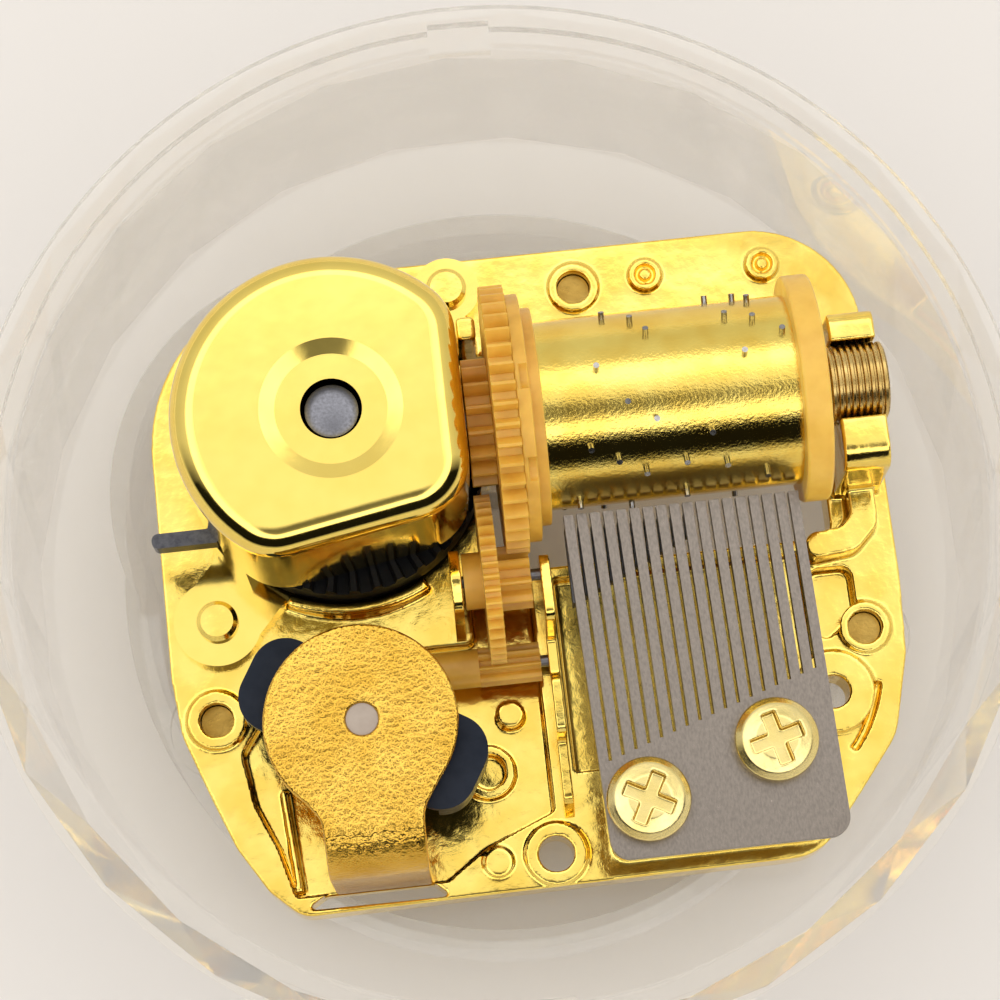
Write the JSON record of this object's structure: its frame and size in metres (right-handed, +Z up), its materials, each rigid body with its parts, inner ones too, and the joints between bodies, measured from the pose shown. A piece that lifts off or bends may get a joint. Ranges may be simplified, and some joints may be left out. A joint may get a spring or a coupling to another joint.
{
  "type": "wind up music box",
  "caption": "Round clear plastic music box with a gold plated pinned cylinder, steel comb, spring barrel and spinning governor.",
  "frame": {"origin": "centre of the round case, at the underside of the foot ring", "axes": "+Z up out of the open dish, +X along the pinned cylinder towards its bush, comb towards -Y"},
  "size_m": [0.0697, 0.0696, 0.0335],
  "materials": {
    "clear_plastic": "clear, polished",
    "gold_plate": "polished gold-coloured plating",
    "beige_nylon": "satin nylon",
    "end_cap_nylon": "satin nylon",
    "black_plastic": "satin",
    "wing_plastic": "satin",
    "pale_plastic": "satin",
    "comb_steel": "brushed",
    "screw_brass": "satin",
    "screw_steel": "satin",
    "bush_brass": "turned",
    "arbor_steel": "ground",
    "key_steel": "satin",
    "pin_steel": "polished",
    "spring_steel": "dark, blued",
    "weight_lead": "dull"
  },
  "bodies": {
    "movement_case": {"case_dish": "clear_plastic", "foot_ring": "clear_plastic", "mounting_screws": "screw_steel", "bedplate": "gold_plate", "gear_bracket_right": "gold_plate", "gear_bracket_left": "gold_plate", "worm_bearing": "gold_plate", "governor_cover": "gold_plate", "governor_bearing": "pale_plastic", "barrel_cap": "gold_plate", "barrel_rivets": "gold_plate", "mainspring": "spring_steel", "spring_hook": "spring_steel", "cylinder_bush": "bush_brass", "comb": "comb_steel", "comb_screws": "screw_brass", "comb_weights": "weight_lead"},
    "winding": {"winding_arbor": "arbor_steel", "winding_key": "key_steel"},
    "drive": {"drive_gear": "black_plastic"},
    "cylinder": {"cylinder_tube": "gold_plate", "cylinder_pins": "pin_steel", "cylinder_gear": "beige_nylon", "cylinder_flange": "beige_nylon", "cylinder_pinion": "beige_nylon", "cylinder_end_cap": "end_cap_nylon", "cylinder_shaft": "arbor_steel"},
    "intermediate": {"intermediate_gear": "beige_nylon", "intermediate_axle": "arbor_steel"},
    "worm_shaft": {"worm_wheel": "beige_nylon", "worm_wheel_axle": "arbor_steel"},
    "governor": {"governor_worm": "black_plastic", "governor_wings": "wing_plastic"}
  },
  "joints": [
    {"name": "cylinder_spin", "type": "hinge", "parent": "movement_case", "child": "cylinder", "pos_m": [0.0119, 0.0074, 0.0245], "axis": [1, 0, 0], "continuous": true},
    {"name": "drive_spin", "type": "hinge", "parent": "movement_case", "child": "drive", "pos_m": [-0.0101, 0.0074, 0.0185], "axis": [0, 0, 1], "continuous": true},
    {"name": "intermediate_spin", "type": "hinge", "parent": "movement_case", "child": "intermediate", "pos_m": [0, -0.00284, 0.0224], "axis": [1, 0, 0], "continuous": true},
    {"name": "worm_shaft_spin", "type": "hinge", "parent": "movement_case", "child": "worm_shaft", "pos_m": [-0.005, -0.00805, 0.01855], "axis": [1, 0, 0], "continuous": true},
    {"name": "governor_spin", "type": "hinge", "parent": "movement_case", "child": "governor", "pos_m": [-0.0103, -0.0119, 0.02], "axis": [0, 0, 1], "continuous": true},
    {"name": "key_turn", "type": "hinge", "parent": "movement_case", "child": "winding", "pos_m": [-0.0101, 0.0074, 0.01], "axis": [0, 0, 1], "range_deg": [0, 2250]}
  ],
  "couplings": [
    {"joint": "drive_spin", "follows": "cylinder_spin", "ratio": 0.42105},
    {"joint": "intermediate_spin", "follows": "cylinder_spin", "ratio": -4.6667},
    {"joint": "worm_shaft_spin", "follows": "cylinder_spin", "ratio": 23.333},
    {"joint": "governor_spin", "follows": "cylinder_spin", "ratio": 233.33}
  ]
}
